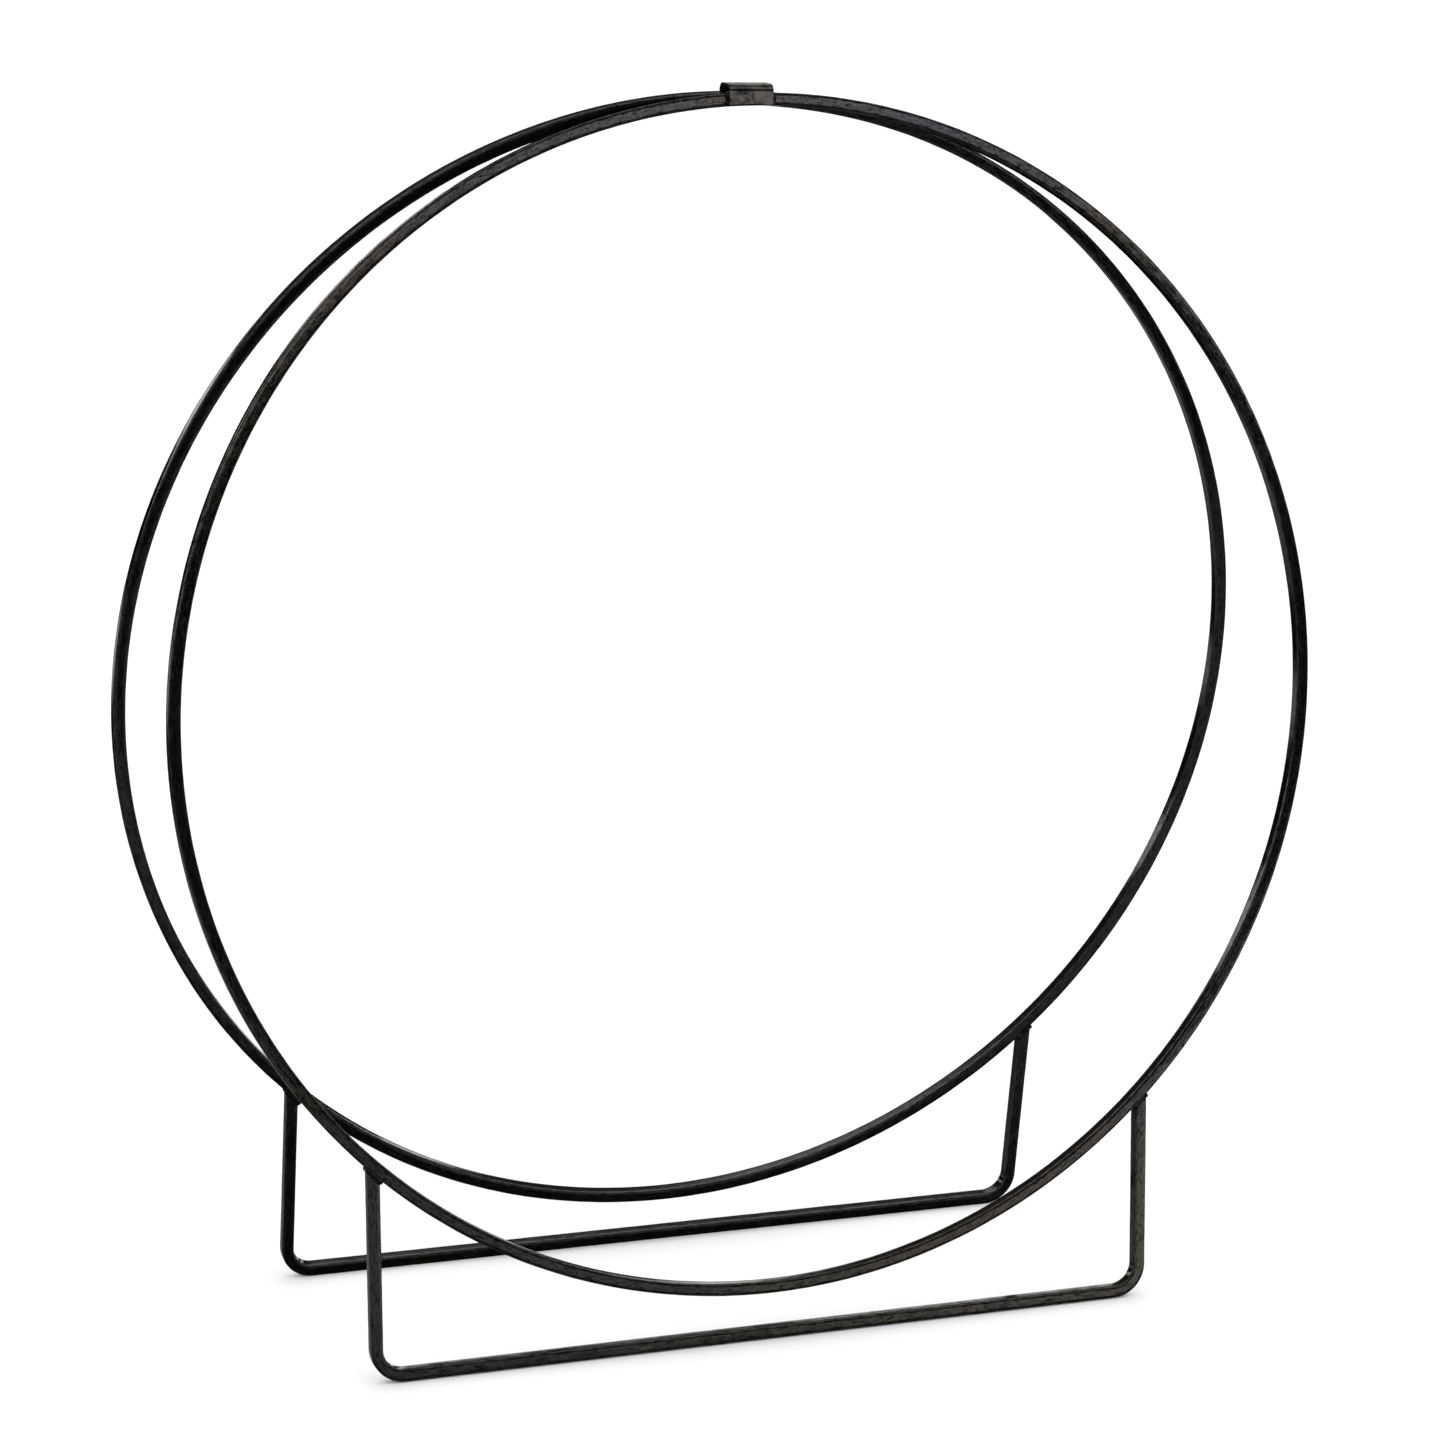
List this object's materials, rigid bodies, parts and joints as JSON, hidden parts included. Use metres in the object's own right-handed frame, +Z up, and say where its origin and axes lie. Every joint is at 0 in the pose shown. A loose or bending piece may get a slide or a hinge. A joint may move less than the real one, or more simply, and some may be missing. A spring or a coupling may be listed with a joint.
{
  "type": "firewood log rack",
  "caption": "Round hoops of square steel bar that lean together on bent floor frames, joined by a folded clip at the top, to hold stacked firewood.",
  "frame": {"origin": "on the floor, under the middle of the rack, midway between the two leaning frames", "axes": "+Z up, +X to the right seen from the front, the front frame on the -Y side and the rear frame on the +Y side"},
  "size_m": [1.2462, 0.2992, 1.2695],
  "materials": {
    "bar_paint": "satin black paint on rolled bar, faintly mottled, with paler worn edges",
    "clip_paint": "satin black paint on folded sheet, slightly glossier and browner than the bars",
    "weld_paint": "black paint over rough, lumpy weld"
  },
  "bodies": {
    "front_frame": {"front_hoop": "bar_paint", "front_base_frame": "bar_paint", "front_left_weld": "weld_paint", "front_right_weld": "weld_paint", "top_clip": "clip_paint", "clip_left_weld": "weld_paint", "clip_right_weld": "weld_paint"},
    "rear_frame": {"rear_hoop": "bar_paint", "rear_base_frame": "bar_paint", "rear_left_weld": "weld_paint", "rear_right_weld": "weld_paint"}
  },
  "joints": [
    {"name": "rear_frame_fold", "type": "hinge", "parent": "front_frame", "child": "rear_frame", "pos_m": [0, 0, 1.25998], "axis": [-1, 0, 0], "range_deg": [0, 12]}
  ]
}
